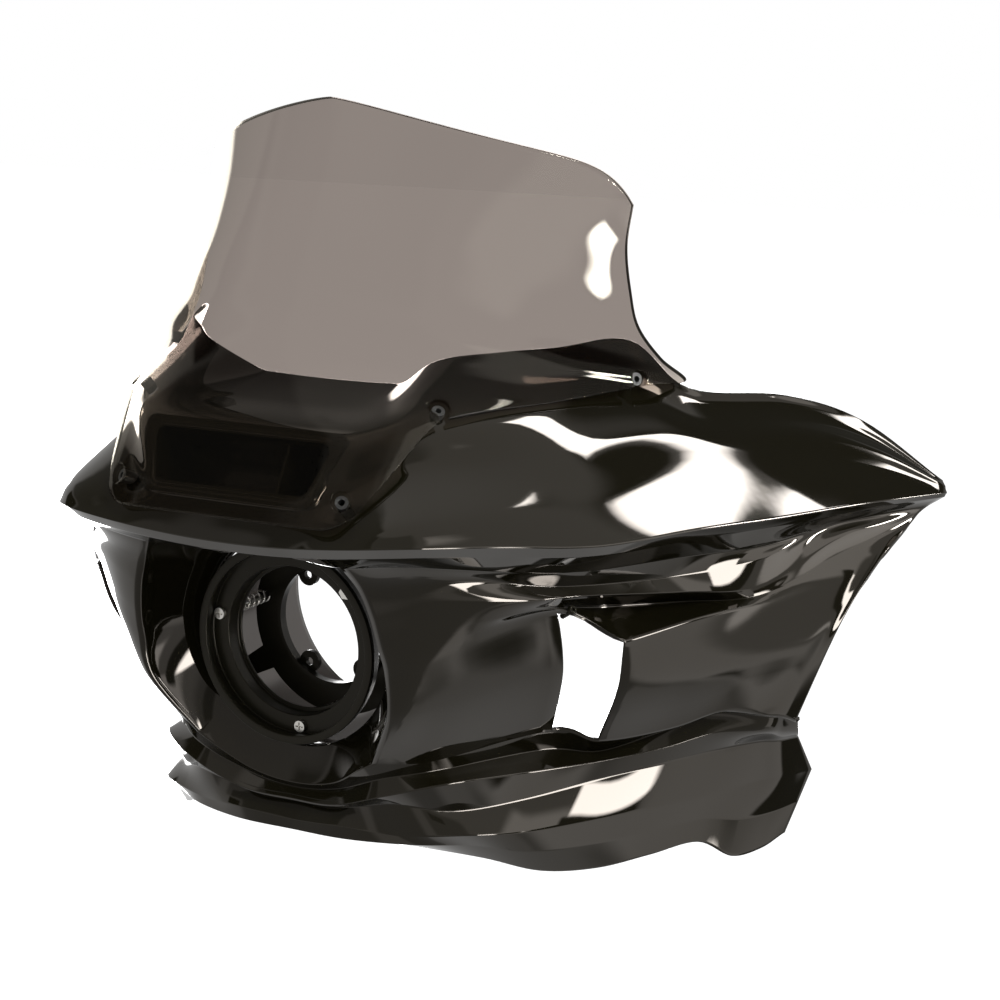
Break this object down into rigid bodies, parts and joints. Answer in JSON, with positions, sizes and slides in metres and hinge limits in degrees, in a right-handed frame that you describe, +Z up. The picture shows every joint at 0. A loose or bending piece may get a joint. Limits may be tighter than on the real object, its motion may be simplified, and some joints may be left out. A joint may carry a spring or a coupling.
{
  "type": "motorcycle fairing",
  "caption": "Frame mounted front fairing with a swept gloss black shell, smoked screen, centre air vent, side scoops and an empty adjustable headlamp ring.",
  "frame": {"origin": "centre of the headlamp ring's front lip", "axes": "-Y forwards out of the headlamp opening, +Z up, +X to the right as seen from the front"},
  "size_m": [0.838, 0.4149, 0.6096],
  "materials": {
    "gloss_black": "gloss",
    "smoked_screen": "gloss",
    "satin_black": "satin",
    "zinc_steel": "satin",
    "black_steel": "satin",
    "black_rubber": "matte",
    "nylon": "matte"
  },
  "bodies": {
    "fairing": {"fairing_shell": "gloss_black", "windshield": "smoked_screen", "vent_duct": "gloss_black", "lamp_carrier": "satin_black", "lamp_plate": "satin_black", "aim_spring_side": "zinc_steel", "aim_spring_low": "zinc_steel", "aim_nut_side": "zinc_steel", "aim_nut_low": "zinc_steel", "plate_bolts": "zinc_steel", "plate_washers": "zinc_steel", "well_nuts_front": "black_rubber", "well_nuts_mid": "black_rubber", "well_nuts_rear": "black_rubber", "scoop_screw_left": "black_steel", "scoop_screw_right": "black_steel"},
    "aim_pivot": {"pivot_cup": "nylon"},
    "headlamp_carrier": {"lamp_ring": "satin_black", "aim_screw_side": "zinc_steel", "aim_screw_low": "zinc_steel", "pivot_stud": "zinc_steel"}
  },
  "joints": [
    {"name": "aim_pan", "type": "hinge", "parent": "fairing", "child": "aim_pivot", "pos_m": [0.05053, 0.076, 0.0455], "axis": [0, 0, 1], "range_deg": [-1.5, 1.5]},
    {"name": "aim_tilt", "type": "hinge", "parent": "aim_pivot", "child": "headlamp_carrier", "pos_m": [0.05053, 0.076, 0.0455], "axis": [1, 0, 0], "range_deg": [-1.5, 1.5], "deforming": ["aim_spring_side", "aim_spring_low"]}
  ]
}
